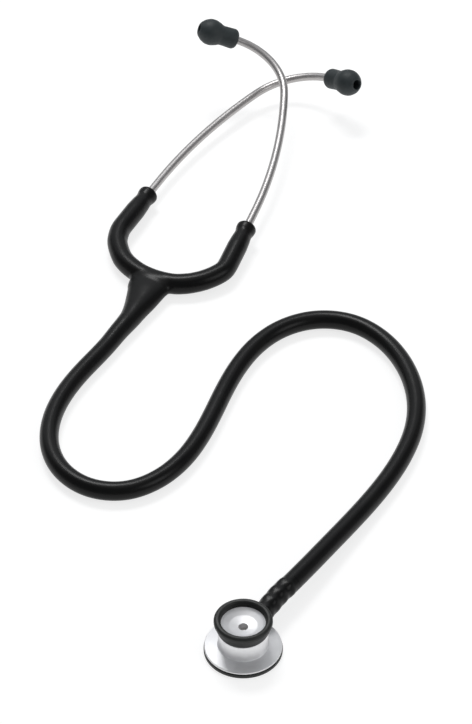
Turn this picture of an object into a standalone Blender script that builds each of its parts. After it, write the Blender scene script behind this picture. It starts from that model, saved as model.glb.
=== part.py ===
"""A single-lumen stethoscope, lying on a surface, in metres with +Z up.

The origin is the centre of the diaphragm, on the surface. The chestpiece stands on its diaphragm rim,
the hose lies in an S behind it, and the headset ends in two ear tubes that cross, as its spring holds them.
Every piece of the assembly is one named object. Nothing here depends on any other file.
"""

import math

import bmesh
import bpy
from mathutils import Matrix, Vector

COLLECTION = "stethoscope"
CUTTERS = "cutters"

GAP = 0.0003  # clearance that two touching pieces keep
END_STEP = 0.0003  # length of the first and last step of a tube
PATH_STEPS = 24  # fine steps between two points of a route
STEPS = 40  # facets round a large turned piece
FINE_STEPS = 20  # facets round a small turned piece

# Hose: one soft tube from the yoke's foot to the chestpiece's stem.
HOSE_RADIUS = 0.0043
HOSE_SPACING = 0.0100
HOSE_ROUTE = [
    (-0.0618, 0.1891, 0.00435),
    (-0.0652, 0.1832, 0.00435),
    (-0.0741, 0.1691, 0.00435),
    (-0.0815, 0.1541, 0.00435),
    (-0.0860, 0.1381, 0.00435),
    (-0.0862, 0.1213, 0.00435),
    (-0.0804, 0.1056, 0.00435),
    (-0.0680, 0.0944, 0.00435),
    (-0.0517, 0.0923, 0.00435),
    (-0.0370, 0.1001, 0.00435),
    (-0.0262, 0.1129, 0.00435),
    (-0.0188, 0.1277, 0.00435),
    (-0.0131, 0.1435, 0.00435),
    (-0.0079, 0.1594, 0.00435),
    (-0.0017, 0.1748, 0.00435),
    (0.0067, 0.1892, 0.00435),
    (0.0187, 0.2009, 0.00435),
    (0.0341, 0.2068, 0.00435),
    (0.0504, 0.2044, 0.00435),
    (0.0632, 0.1942, 0.00435),
    (0.0719, 0.1800, 0.00435),
    (0.0769, 0.1640, 0.00435),
    (0.0784, 0.1474, 0.00435),
    (0.0763, 0.1308, 0.00435),
    (0.0711, 0.1149, 0.00435),
    (0.0640, 0.0999, 0.00440),
    (0.0556, 0.0854, 0.00470),
    (0.0467, 0.0713, 0.00550),
    (0.0376, 0.0572, 0.00670),
    (0.0290, 0.0437, 0.00800),
    (0.0208, 0.0316, 0.00880),
]

# Chestpiece: heights above the surface, radii about its vertical axis.
RIM_RADIUS = 0.01675
RIM_LIP_RADIUS = 0.0144
RIM_LIP = 0.0006
RIM_TOP = 0.0022
DIAPHRAGM_RADIUS = 0.0155
DIAPHRAGM_BOTTOM = RIM_LIP + GAP
DIAPHRAGM_THICKNESS = 0.0004
DIAPHRAGM_FACE_RADIUS = 0.0141
DIAPHRAGM_FACE = 0.0005
SKIRT_RADIUS = 0.0156
FLANGE_RADIUS = 0.0165
FLANGE_BOTTOM = DIAPHRAGM_BOTTOM + DIAPHRAGM_THICKNESS + GAP
FLANGE_EDGE = RIM_TOP + GAP
FLANGE_TOP = 0.0031
CHAMBER_RADIUS = 0.0142
CHAMBER_TOP = 0.0027
DRUM_RADIUS = 0.0106
DRUM_BOTTOM = 0.0042
DRUM_TOP = 0.0123
BELL_NECK_RADIUS = 0.0100
BELL_EDGE_RADIUS = 0.0103
BELL_EDGE_TOP = 0.0165
DISH_RADIUS = 0.0093
DISH_BOTTOM = 0.0143
CHANNEL_RADIUS = 0.0020

# Non-chill ring round the bell.
BELL_RIM_RADIUS = 0.01245
BELL_RIM_TOP = 0.0192
BELL_RIM_SKIRT = DRUM_TOP + GAP

# Stem: turned spigot that the chestpiece swivels on. Distances run along its axis from the chestpiece's axis.
STEM_HEIGHT = 0.0090
STEM_AZIMUTH = math.radians(58.0)
SOCKET_RADIUS = 0.00315
SOCKET_DEPTH = -0.0053
SPIGOT_RADIUS = SOCKET_RADIUS - GAP
SPIGOT_END = -0.0048
STEM_COLLAR = (0.0117, 0.0129)
STEM_COLLAR_RADIUS = 0.0037
BARB_RADIUS = 0.0028
BARB_NECK_RADIUS = 0.0024
BARB_PITCH = 0.0042
BARB_COUNT = 3
STEM_BORE_RADIUS = 0.0012
SEAL_AT = 0.0045
SEAL_MAJOR = 0.0025
SEAL_MINOR = 0.00035
RING_AT = 0.0078
RING_THICKNESS = 0.0005
RING_INNER = 0.0026
RING_OUTER = 0.0036
DETENT_AT = -0.0032
BALL_RADIUS = 0.0008
BALL_OUT = 0.00255  # from the stem's axis to the ball's centre
DETENT_HOLE_RADIUS = BALL_RADIUS + GAP
DETENT_HOLE_DEPTH = 0.0043

# Grip: the knobbly end of the hose, moulded over the stem's barbs.
GRIP_RADIUS = 0.0046
GRIP_BUMP = 0.0003
GRIP_RINGS = 4
GRIP_START = STEM_COLLAR[1] + GAP
GRIP_BORE_RADIUS = BARB_RADIUS + GAP
GRIP_BORE_END = 0.0270
GRIP_STRAIGHT_TO = 0.0230
GRIP_SPACING = 0.0015

# Headset: its frame stands at the bottom of the yoke's U, +Y towards the ear tips, +Z out of its plane.
HEADSET_AT = Vector((-0.04386, 0.23355, 0.00495))
HEADSET_YAW = math.radians(-27.0)
HEADSET_TILT = math.radians(3.0)
ARM_RADIUS = 0.00485
ARM_BORE_RADIUS = 0.0029
FOOT_BORE_RADIUS = 0.0020
U_SPACING = 0.0030
U_ROUTE = [
    (-0.0286, 0.0277, 0.0),
    (-0.0285, 0.0255, 0.0),
    (-0.0275, 0.0215, 0.0),
    (-0.0249, 0.0157, 0.0),
    (-0.0175, 0.0076, 0.0),
    (-0.0083, 0.0031, 0.0),
    (0.0011, 0.0016, 0.0),
    (0.0105, 0.0026, 0.0),
    (0.0166, 0.0054, 0.0),
    (0.0216, 0.0094, 0.0),
    (0.0252, 0.0138, 0.0),
    (0.0277, 0.0182, 0.0),
    (0.0288, 0.0214, 0.0),
    (0.0288, 0.0247, 0.0),
]
BEND_LENGTH = 0.0225  # the stretch of each arm that flexes when the headset is spread
PIVOT = {"left": Vector((-0.026, 0.016, 0.0)), "right": Vector((0.026, 0.016, 0.0))}

# Foot of the yoke: (across, along, out of plane, half width, half thickness), from the U down to the hose.
FOOT_STATIONS = [
    (0.0016, 0.0027, 0.0000, 0.0080, 0.0036),
    (0.0021, -0.0018, 0.0002, 0.0102, 0.0044),
    (0.0025, -0.0056, 0.0003, 0.0097, 0.0047),
    (0.0031, -0.0092, 0.0005, 0.0087, 0.0048),
    (0.0039, -0.0152, 0.0007, 0.0074, 0.0048),
    (0.0045, -0.0213, 0.0010, 0.0060, 0.0048),
    (0.0049, -0.0270, 0.0012, 0.0051, 0.0047),
    (0.0048, -0.0325, 0.0015, 0.0047, 0.0046),
    (0.0045, -0.0380, 0.0017, 0.0045, 0.0044),
]
FOOT_SIDES = 20

# Arm sleeve: it grips the ear tube. Distances run from the arm's end to the collar's face.
SLEEVE_LENGTH = 0.0270
SLEEVE_BORE_RADIUS = 0.00225
SLEEVE_NECK = (0.0212, 0.0040)
SLEEVE_COLLAR = (0.0256, 0.0044)
CLIP_POCKET_RADIUS = 0.0033
CLIP_POCKET_DEPTH = 0.0067
CLIP_RANGE = (0.0020, 0.0064)
CLIP_RADIUS = 0.00295
LEAN = {"left": math.radians(-0.5), "right": math.radians(7.1)}
PITCH = {"left": math.radians(-2.9), "right": math.radians(2.2)}
ROLL = {"left": math.radians(10.0), "right": math.radians(15.9)}
MIRROR = {"left": -1.0, "right": 1.0}

# Ear tube: bent steel tube, from inside the sleeve to inside the ear tip. Lengths run from the collar's face.
TUBE_RADIUS = 0.00195
TUBE_WALL = 0.00045
TUBE_START = -0.0220
TUBE_STRAIGHT_TO = 0.0100
TUBE_BOW = (0.0921, math.radians(18.9))
TUBE_BEND = (0.1323, math.radians(88.9))
TUBE_LIFT = math.radians(8.8)
TUBE_END = 0.1408
TUBE_SPACING = 0.0055

# Ear tip: soft mushroom on the tube's end. Distances run from its base.
TIP_BASE = 0.1320
TIP_LENGTH = 0.0203
TIP_BARREL_RADIUS = 0.0049
TIP_WAIST = (0.0086, 0.0047)
TIP_BALL = (0.0139, 0.00645)
TIP_BORE_RADIUS = 0.00225

# Leaf spring: flat strip in the lumen of the U, nearer its outer wall.
LEAF_THICKNESS = 0.0005
LEAF_WIDTH = 0.0036
LEAF_OFFSET = 0.0010

MATERIALS = {
    "black_vinyl": ((0.012, 0.012, 0.012), 0.38, 0.0),
    "rim_rubber": ((0.016, 0.016, 0.017), 0.55, 0.0),
    "soft_tip": ((0.030, 0.040, 0.043), 0.60, 0.0),
    "polished_steel": ((0.62, 0.60, 0.58), 0.16, 1.0),
    "turned_steel": ((0.72, 0.72, 0.73), 0.28, 1.0),
    "spring_steel": ((0.30, 0.30, 0.31), 0.35, 1.0),
    "plated_brass": ((0.66, 0.64, 0.58), 0.22, 1.0),
    "seal_rubber": ((0.020, 0.020, 0.020), 0.60, 0.0),
    "diaphragm_resin": ((0.42, 0.43, 0.44), 0.35, 0.0),
}


def clear_scene():
    for old in list(bpy.data.objects):
        bpy.data.objects.remove(old)


def make_collection(name, hidden=False):
    made = bpy.data.collections.new(name)
    made.hide_render = hidden
    bpy.context.scene.collection.children.link(made)
    return made


def make_material(name, colour, roughness, metallic):
    made = bpy.data.materials.new(name)
    made.use_nodes = True
    shader = made.node_tree.nodes["Principled BSDF"]
    shader.inputs["Base Color"].default_value = (*colour, 1.0)
    shader.inputs["Roughness"].default_value = roughness
    shader.inputs["Metallic"].default_value = metallic
    made.diffuse_color = (*colour, 1.0)
    return made


def add_part(name, data, material, parent=None, matrix=None):
    """One named object of the assembly. matrix is its place under its parent."""
    made = bpy.data.objects.new(name, data)
    bpy.data.collections[COLLECTION].objects.link(made)
    made.data.materials.append(bpy.data.materials[material])
    made.parent = parent
    made.matrix_basis = matrix or Matrix.Identity(4)
    return made


def add_cutter(name, data, like):
    """A hidden cutter that stands in the same frame as the part it cuts."""
    made = bpy.data.objects.new(name, data)
    bpy.data.collections[CUTTERS].objects.link(made)
    made.display_type = "WIRE"
    made.hide_render = True
    made.parent = like.parent
    made.matrix_basis = like.matrix_basis.copy()
    return made


def add_frame(name, matrix, parent=None):
    made = bpy.data.objects.new(name, None)
    bpy.data.collections[COLLECTION].objects.link(made)
    made.parent = parent
    made.matrix_basis = matrix
    return made


def cut(part, name, data, operation="DIFFERENCE"):
    modifier = part.modifiers.new(name, "BOOLEAN")
    modifier.operation = operation
    modifier.object = add_cutter(name, data, part)


def shade(mesh):
    mesh.shade_smooth()
    mesh.set_sharp_from_angle(angle=math.radians(35.0))


def along(point, direction):
    """The matrix that stands a turned piece's +Z on a direction."""
    turn = Vector(direction).to_track_quat("Z", "Y").to_matrix().to_4x4()
    return Matrix.Translation(point) @ turn


def arc(centre, radius, start, end, count):
    """Points (radius, height) of an arc, with its angles in degrees from the outward direction."""
    made = []
    for step in range(count + 1):
        angle = math.radians(start + (end - start) * step / count)
        made.append((centre[0] + radius * math.cos(angle), centre[1] + radius * math.sin(angle)))
    return made


def turned(name, profile, steps=STEPS, closed=True):
    """The mesh of a profile (radius, height) turned about Z. It runs down its outer side.

    A closed profile makes a ring. An open one starts and ends on the axis.
    """
    outline = bpy.data.meshes.new(name)
    points = [(radius, 0.0, height) for radius, height in profile]
    edges = [(i, i + 1) for i in range(len(points) - 1)]
    if closed:
        edges.append((len(points) - 1, 0))
    outline.from_pydata(points, edges, [])
    holder = bpy.data.objects.new(name + "_profile", outline)
    bpy.context.scene.collection.objects.link(holder)
    screw = holder.modifiers.new("turn", "SCREW")
    screw.axis = "Z"
    screw.steps = steps
    screw.render_steps = steps
    screw.use_merge_vertices = True
    screw.merge_threshold = 0.00001
    return evaluated_mesh(name, holder)


def evaluated_mesh(name, holder):
    """The holder's evaluated shape as a mesh with its caps welded. The holder is removed."""
    bpy.context.view_layer.update()
    graph = bpy.context.evaluated_depsgraph_get()
    made = bpy.data.meshes.new_from_object(holder.evaluated_get(graph))
    bpy.data.objects.remove(holder)
    made.name = name
    shape = bmesh.new()
    shape.from_mesh(made)
    bmesh.ops.remove_doubles(shape, verts=shape.verts, dist=0.00001)
    bmesh.ops.recalc_face_normals(shape, faces=shape.faces)
    shape.to_mesh(made)
    shape.free()
    shade(made)
    return made


def wire_curve(name, points, radius, resolution, radii=None):
    """A round wire or tube with closed ends, on a polyline."""
    curve = bpy.data.curves.new(name, "CURVE")
    curve.dimensions = "3D"
    curve.bevel_depth = radius
    curve.bevel_resolution = resolution
    curve.use_fill_caps = True
    spline = curve.splines.new("POLY")
    spline.points.add(len(points) - 1)
    for i, point in enumerate(points):
        spline.points[i].co = (*point, 1.0)
        spline.points[i].radius = radii[i] if radii else 1.0
    return curve


def wire_mesh(name, points, radius, resolution=4, radii=None):
    holder = bpy.data.objects.new(name + "_wire", wire_curve(name, points, radius, resolution, radii))
    bpy.context.scene.collection.objects.link(holder)
    return evaluated_mesh(name, holder)


def cylinder_mesh(name, radius, low, high, steps=FINE_STEPS):
    return turned(name, [(0.0, high), (radius, high), (radius, low), (0.0, low)], steps, closed=False)


def smooth_path(route):
    """The smooth curve through a route's points, as a fine polyline."""
    points = [Vector(p) for p in route]
    points = [2 * points[0] - points[1], *points, 2 * points[-1] - points[-2]]
    dense = []
    for a, b, c, d in zip(points, points[1:], points[2:], points[3:]):
        for step in range(PATH_STEPS):
            t = step / PATH_STEPS
            dense.append(
                0.5
                * (
                    2 * b
                    + (c - a) * t
                    + (2 * a - 5 * b + 4 * c - d) * t * t
                    + (3 * b - a - 3 * c + d) * t * t * t
                )
            )
    dense.append(points[-2])
    return dense


def path_length(path):
    return sum((b - a).length for a, b in zip(path, path[1:]))


def point_at(path, distance):
    for a, b in zip(path, path[1:]):
        step = (b - a).length
        if distance <= step:
            return a.lerp(b, distance / step)
        distance -= step
    return path[-1] + (path[-1] - path[-2]).normalized() * distance


def stretch(path, start, end, spacing):
    """The part of a path between two distances along it, as points at about that spacing.

    A short step at each end keeps a tube's end faces square to the path.
    """
    count = max(1, round((end - start) / spacing))
    places = [start + (end - start) * i / count for i in range(count + 1)]
    places[1:1] = [start + END_STEP]
    places[-1:-1] = [end - END_STEP]
    return [point_at(path, place) for place in places]


def extended(path, amount):
    """The same path, carried straight on past both of its ends."""
    before = path[0] + (path[0] - path[1]).normalized() * amount
    after = path[-1] + (path[-1] - path[-2]).normalized() * amount
    return [before, *path, after]


def loft_mesh(name, stations, sides):
    """A closed skin through oval sections. A station is (centre, across, up, half width, half thickness)."""
    shape = bmesh.new()
    rings = []
    for centre, across, up, width, thickness in stations:
        ring = []
        for side in range(sides):
            angle = 2 * math.pi * side / sides
            offset = across * (width * math.cos(angle)) + up * (thickness * math.sin(angle))
            ring.append(shape.verts.new(centre + offset))
        rings.append(ring)
    for lower, upper in zip(rings, rings[1:]):
        for side in range(sides):
            after = (side + 1) % sides
            shape.faces.new((lower[side], lower[after], upper[after], upper[side]))
    shape.faces.new(list(reversed(rings[0])))
    shape.faces.new(rings[-1])
    bmesh.ops.recalc_face_normals(shape, faces=shape.faces)
    made = bpy.data.meshes.new(name)
    shape.to_mesh(made)
    shape.free()
    shade(made)
    return made


# ---------------------------------------------------------------- chestpiece


def make_diaphragm_rim(parent):
    """Soft snap ring round the flange's skirt. Its lip holds the diaphragm's edge."""
    seat = SKIRT_RADIUS + GAP
    profile = [
        (seat, RIM_TOP),
        *arc((RIM_RADIUS - 0.0003, RIM_TOP - 0.0003), 0.0003, 90, 0, 2),
        *arc((RIM_RADIUS - 0.0005, 0.0005), 0.0005, 0, -90, 3),
        (RIM_LIP_RADIUS + 0.0002, 0.0),
        (RIM_LIP_RADIUS, RIM_LIP),
        (seat, RIM_LIP),
    ]
    add_part("diaphragm_rim", turned("diaphragm_rim", profile), "rim_rubber", parent)


def make_diaphragm(parent):
    """Thin stiff disc, pressed out over its middle so that it stands through the rim's lip."""
    step = DIAPHRAGM_BOTTOM - DIAPHRAGM_FACE
    profile = [
        (0.0, DIAPHRAGM_FACE + DIAPHRAGM_THICKNESS),
        (DIAPHRAGM_FACE_RADIUS - 0.0003, DIAPHRAGM_FACE + DIAPHRAGM_THICKNESS),
        (DIAPHRAGM_FACE_RADIUS - 0.0003 + step, DIAPHRAGM_BOTTOM + DIAPHRAGM_THICKNESS),
        (DIAPHRAGM_RADIUS, DIAPHRAGM_BOTTOM + DIAPHRAGM_THICKNESS),
        (DIAPHRAGM_RADIUS, DIAPHRAGM_BOTTOM),
        (DIAPHRAGM_FACE_RADIUS, DIAPHRAGM_BOTTOM),
        (DIAPHRAGM_FACE_RADIUS, DIAPHRAGM_FACE),
        (0.0, DIAPHRAGM_FACE),
    ]
    mesh = turned("diaphragm", profile, closed=False)
    add_part("diaphragm", mesh, "diaphragm_resin", parent)


def make_chestpiece_body(parent):
    """Flange, drum and bell dish turned from one bar, then bored for the stem and the sound channel."""
    profile = [
        (0.0, DISH_BOTTOM),
        (CHANNEL_RADIUS + 0.0004, DISH_BOTTOM),
        (0.0060, DISH_BOTTOM + 0.0008),
        (0.0085, DISH_BOTTOM + 0.0017),
        (DISH_RADIUS, BELL_EDGE_TOP - 0.0001),
        (DISH_RADIUS + 0.0001, BELL_EDGE_TOP),
        (BELL_EDGE_RADIUS, BELL_EDGE_TOP),
        (BELL_EDGE_RADIUS, BELL_EDGE_TOP - 0.0012),
        (BELL_NECK_RADIUS, DRUM_TOP),
        (DRUM_RADIUS, DRUM_TOP),
        (DRUM_RADIUS, DRUM_BOTTOM + 0.0004),
        *arc((DRUM_RADIUS + 0.0006, DRUM_BOTTOM + 0.0006), 0.0006, 180, 255, 3),
        (FLANGE_RADIUS, FLANGE_TOP),
        (FLANGE_RADIUS, FLANGE_EDGE),
        (SKIRT_RADIUS, FLANGE_EDGE),
        (SKIRT_RADIUS, FLANGE_BOTTOM),
        (CHAMBER_RADIUS, FLANGE_BOTTOM),
        (CHAMBER_RADIUS - 0.0004, FLANGE_BOTTOM + 0.0004),
        (0.0070, CHAMBER_TOP - 0.0002),
        (0.0, CHAMBER_TOP),
    ]
    mesh = turned("chestpiece_body", profile, closed=False)
    body = add_part("chestpiece_body", mesh, "turned_steel", parent)
    groove = DETENT_HOLE_RADIUS + 0.0001
    groove_radius = BALL_OUT + BALL_RADIUS + GAP
    ring_slot = RING_THICKNESS / 2 + GAP
    socket_profile = [
        (0.0, DRUM_RADIUS + 0.0020),
        (SOCKET_RADIUS, DRUM_RADIUS + 0.0020),
        (SOCKET_RADIUS, RING_AT + ring_slot),
        (RING_OUTER + GAP, RING_AT + ring_slot),
        (RING_OUTER + GAP, RING_AT - ring_slot),
        (SOCKET_RADIUS, RING_AT - ring_slot),
        (SOCKET_RADIUS, DETENT_AT + groove),
        (groove_radius, DETENT_AT + groove),
        (groove_radius, DETENT_AT - groove),
        (SOCKET_RADIUS, DETENT_AT - groove),
        (SOCKET_RADIUS, SOCKET_DEPTH),
        (0.0, SOCKET_DEPTH),
    ]
    socket = turned("stem_socket_cut", socket_profile, FINE_STEPS, closed=False)
    socket.transform(stem_frame())
    cut(body, "stem_socket_cut", socket)
    low = FLANGE_BOTTOM - 0.001
    channel = cylinder_mesh("sound_channel_cut", CHANNEL_RADIUS, low, DISH_BOTTOM + 0.001, 18)
    cut(body, "sound_channel_cut", channel)


def make_bell_rim(parent):
    """Soft ring stretched over the bell's edge, so that the metal never meets the skin."""
    bead = 0.0012
    profile = [
        (DISH_RADIUS + 0.0006, BELL_RIM_TOP - 0.0003),
        (DISH_RADIUS + 0.0010, BELL_RIM_TOP),
        *arc((BELL_RIM_RADIUS - bead, BELL_RIM_TOP - bead), bead, 90, -20, 6),
        (BELL_RIM_RADIUS - 0.0003, BELL_RIM_TOP - 0.0030),
        (BELL_RIM_RADIUS - 0.0009, BELL_RIM_SKIRT + 0.0016),
        (BELL_NECK_RADIUS + 0.0010, BELL_RIM_SKIRT),
        (BELL_NECK_RADIUS + GAP, BELL_RIM_SKIRT),
        (BELL_EDGE_RADIUS + GAP, BELL_EDGE_TOP - 0.0012),
        (BELL_EDGE_RADIUS + GAP, BELL_EDGE_TOP + GAP),
        (DISH_RADIUS + 0.0001, BELL_EDGE_TOP + GAP),
        (DISH_RADIUS + 0.0001, BELL_EDGE_TOP + 0.0008),
    ]
    add_part("bell_rim", turned("bell_rim", profile), "rim_rubber", parent)


# ---------------------------------------------------------------- stem


def stem_frame():
    """+Z along the stem, away from the chestpiece, and +X down."""
    place = Matrix.Translation((0.0, 0.0, STEM_HEIGHT)) @ Matrix.Rotation(STEM_AZIMUTH, 4, "Z")
    return place @ Matrix.Rotation(math.radians(90.0), 4, "Y")


def make_stem(parent):
    ring_slot = RING_THICKNESS / 2 + GAP
    seal_slot = SEAL_MINOR + GAP
    barbs = []
    for i in reversed(range(BARB_COUNT)):
        base = STEM_COLLAR[1] + i * BARB_PITCH
        barbs.append((BARB_NECK_RADIUS, base + BARB_PITCH))
        barbs.append((BARB_RADIUS, base + 0.0010))
        barbs.append((BARB_NECK_RADIUS, base + 0.0008))
    profile = [
        (0.0, barbs[0][1]),
        *barbs,
        (BARB_NECK_RADIUS, STEM_COLLAR[1]),
        (STEM_COLLAR_RADIUS, STEM_COLLAR[1]),
        (STEM_COLLAR_RADIUS, STEM_COLLAR[0]),
        (SPIGOT_RADIUS, STEM_COLLAR[0]),
        (SPIGOT_RADIUS, RING_AT + ring_slot),
        (RING_INNER - GAP, RING_AT + ring_slot),
        (RING_INNER - GAP, RING_AT - ring_slot),
        (SPIGOT_RADIUS, RING_AT - ring_slot),
        (SPIGOT_RADIUS, SEAL_AT + seal_slot),
        (SEAL_MAJOR - SEAL_MINOR - GAP, SEAL_AT + seal_slot),
        (SEAL_MAJOR - SEAL_MINOR - GAP, SEAL_AT - seal_slot),
        (SPIGOT_RADIUS, SEAL_AT - seal_slot),
        (SPIGOT_RADIUS, SPIGOT_END + 0.0003),
        (SPIGOT_RADIUS - 0.0003, SPIGOT_END),
        (0.0, SPIGOT_END),
    ]
    mesh = turned("stem", profile, FINE_STEPS, closed=False)
    stem = add_part("stem", mesh, "plated_brass", parent)
    bore = cylinder_mesh("stem_bore_cut", STEM_BORE_RADIUS, -0.0008, barbs[0][1] + 0.001, 20)
    cut(stem, "stem_bore_cut", bore)
    port = cylinder_mesh("stem_port_cut", STEM_BORE_RADIUS, 0.0, SPIGOT_RADIUS + 0.001, 20)
    port.transform(Matrix.Rotation(math.radians(-90.0), 4, "Y"))
    cut(stem, "stem_port_cut", port)
    top = SPIGOT_RADIUS + 0.001
    hole = cylinder_mesh("detent_hole_cut", DETENT_HOLE_RADIUS, SPIGOT_RADIUS - DETENT_HOLE_DEPTH, top, 20)
    hole.transform(Matrix.Translation((0.0, 0.0, DETENT_AT)) @ Matrix.Rotation(math.radians(90.0), 4, "Y"))
    cut(stem, "detent_hole_cut", hole)


def make_stem_seal(parent):
    profile = arc((SEAL_MAJOR, 0.0), SEAL_MINOR, 180, -135, 7)
    place = Matrix.Translation((0.0, 0.0, SEAL_AT))
    add_part("stem_seal", turned("stem_seal", profile, FINE_STEPS), "seal_rubber", parent, place)


def make_stem_retaining_ring(parent):
    """A split ring that keeps the spigot in its socket."""
    half = RING_THICKNESS / 2
    profile = [(RING_INNER, half), (RING_OUTER, half), (RING_OUTER, -half), (RING_INNER, -half)]
    place = Matrix.Translation((0.0, 0.0, RING_AT))
    mesh = turned("stem_retaining_ring", profile, FINE_STEPS)
    ring = add_part("stem_retaining_ring", mesh, "spring_steel", parent, place)
    shape = bmesh.new()
    bmesh.ops.create_cube(shape, size=1.0)
    slot = bpy.data.meshes.new("ring_split_cut")
    shape.to_mesh(slot)
    shape.free()
    size = Matrix.Diagonal((0.004, 0.0014, 0.004, 1.0))
    slot.transform(Matrix.Translation((-RING_OUTER, 0.0, 0.0)) @ size)
    cut(ring, "ring_split_cut", slot)


def make_detent(parent):
    """Ball and spring in the spigot's blind end. The ball runs in the socket's groove."""
    ball = turned("detent_ball", arc((0.0, 0.0), BALL_RADIUS, 90, -90, 8), 16, closed=False)
    place = Matrix.Translation((BALL_OUT, 0.0, DETENT_AT))
    add_part("detent_ball", ball, "spring_steel", parent, place)
    turns, wire, radius = 3, 0.00014, 0.0006
    low = SPIGOT_RADIUS - DETENT_HOLE_DEPTH + GAP + wire
    high = BALL_OUT - BALL_RADIUS - GAP - wire
    count = turns * 10
    helix = []
    for i in range(count + 1):
        angle = 2 * math.pi * turns * i / count
        out = low + (high - low) * i / count
        helix.append((out, radius * math.cos(angle), radius * math.sin(angle)))
    place = Matrix.Translation((0.0, 0.0, DETENT_AT))
    coil = wire_curve("detent_spring", helix, wire, 1)
    add_part("detent_spring", coil, "spring_steel", parent, place)


# ---------------------------------------------------------------- hose


def make_hose_grip():
    """The last stretch of the hose, with rings of soft bumps, pushed over the barbs."""
    axis = Vector((math.cos(STEM_AZIMUTH), math.sin(STEM_AZIMUTH), 0.0))
    centre = Vector((0.0, 0.0, STEM_HEIGHT))
    outer_end = Vector(HOSE_ROUTE[-1])
    route = [
        centre + axis * GRIP_START,
        centre + axis * (GRIP_START + GRIP_STRAIGHT_TO) / 2,
        centre + axis * GRIP_STRAIGHT_TO,
        (centre + axis * (GRIP_STRAIGHT_TO + 0.0062)).lerp(outer_end, 0.12),
        outer_end - (Vector(HOSE_ROUTE[-2]) - outer_end).normalized() * GAP,
    ]
    line = smooth_path(route)
    path = stretch(line, 0.0, path_length(line), GRIP_SPACING)
    radii = []
    for i in range(len(path)):
        wave = 0.5 - 0.5 * math.cos(2 * math.pi * GRIP_RINGS * i / (len(path) - 1))
        radii.append(1.0 + wave * GRIP_BUMP / GRIP_RADIUS)
    grip = add_part("hose_grip", wire_mesh("hose_grip", path, GRIP_RADIUS, 4, radii), "black_vinyl")
    bore = cylinder_mesh("grip_bore_cut", GRIP_BORE_RADIUS, GRIP_START - 0.002, GRIP_BORE_END, 24)
    bore.transform(stem_frame())
    cut(grip, "grip_bore_cut", bore)


def make_hose():
    line = smooth_path(HOSE_ROUTE)
    path = stretch(line, GAP, path_length(line), HOSE_SPACING)
    add_part("hose", wire_curve("hose", path, HOSE_RADIUS, 3), "black_vinyl")


# ---------------------------------------------------------------- yoke


def headset_matrix():
    turn = Matrix.Rotation(HEADSET_YAW, 4, "Z") @ Matrix.Rotation(HEADSET_TILT, 4, "X")
    return Matrix.Translation(HEADSET_AT) @ turn


def u_path():
    return smooth_path(U_ROUTE)


def foot_stations():
    """The foot's sections in the headset's frame. The last is the hose's own, where the hose begins."""
    inward = headset_matrix().inverted()
    hose_start = inward @ Vector(HOSE_ROUTE[0])
    hose_run = (inward.to_3x3() @ (Vector(HOSE_ROUTE[1]) - Vector(HOSE_ROUTE[0]))).normalized()
    up = (inward.to_3x3() @ Vector((0.0, 0.0, 1.0))).normalized()
    centres = [Vector(station[:3]) for station in FOOT_STATIONS] + [hose_start]
    sizes = [station[3:] for station in FOOT_STATIONS] + [(HOSE_RADIUS, HOSE_RADIUS)]
    stations = []
    for i, (centre, size) in enumerate(zip(centres, sizes)):
        before = centres[max(i - 1, 0)]
        after = centres[min(i + 1, len(centres) - 1)]
        run = hose_run if i == len(centres) - 1 else (after - before).normalized()
        across = run.cross(up).normalized()
        stations.append((centre, across, across.cross(run).normalized(), *size))
    return stations


def make_yoke(parent):
    """The moulding's fixed middle: the bottom of the U, and the foot that narrows to the hose."""
    path = u_path()
    middle = stretch(path, BEND_LENGTH + GAP, path_length(path) - BEND_LENGTH - GAP, U_SPACING)
    yoke = add_part("yoke", wire_mesh("yoke", middle, ARM_RADIUS), "black_vinyl", parent)
    stations = foot_stations()
    cut(yoke, "foot_join", loft_mesh("foot_join", stations, FOOT_SIDES), "UNION")
    lumen = wire_mesh("yoke_lumen_cut", extended(middle, 0.002), ARM_BORE_RADIUS)
    cut(yoke, "yoke_lumen_cut", lumen)
    foot_line = [Vector((0.0018, 0.0020, 0.0)), *(station[0] for station in stations[2:])]
    foot_line.append(2 * foot_line[-1] - foot_line[-2])
    cut(yoke, "foot_lumen_cut", wire_mesh("foot_lumen_cut", foot_line, FOOT_BORE_RADIUS, 3))


def make_arm_bend(side, parent):
    """The flexing stretch of one arm."""
    path = u_path()
    if side == "right":
        path.reverse()
    part = stretch(path, GAP, BEND_LENGTH, U_SPACING)
    name = side + "_arm_bend"
    bend = add_part(name, wire_mesh(name, part, ARM_RADIUS), "black_vinyl", parent)
    cut(bend, name + "_lumen_cut", wire_mesh(name + "_lumen_cut", extended(part, 0.002), ARM_BORE_RADIUS))


def make_leaf_spring(parent):
    """Flat strip that closes the headset. It follows the U and ends at the two clips."""
    path = u_path()
    line = stretch(path, 0.0, path_length(path), U_SPACING)
    stations = []
    for i, centre in enumerate(line):
        run = (line[min(i + 1, len(line) - 1)] - line[max(i - 1, 0)]).normalized()
        out = run.cross(Vector((0.0, 0.0, 1.0))).normalized()
        stations.append((centre + out * LEAF_OFFSET, out))
    curve = bpy.data.curves.new("leaf_spring", "CURVE")
    curve.dimensions = "2D"
    curve.fill_mode = "BOTH"
    curve.extrude = LEAF_WIDTH / 2
    spline = curve.splines.new("POLY")
    spline.use_cyclic_u = True
    half = LEAF_THICKNESS / 2
    outline = [point + out * half for point, out in stations]
    outline += [point - out * half for point, out in reversed(stations)]
    spline.points.add(len(outline) - 1)
    for i, point in enumerate(outline):
        spline.points[i].co = (*point, 1.0)
    add_part("leaf_spring", curve, "spring_steel", parent)


# ---------------------------------------------------------------- binaurals


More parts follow.
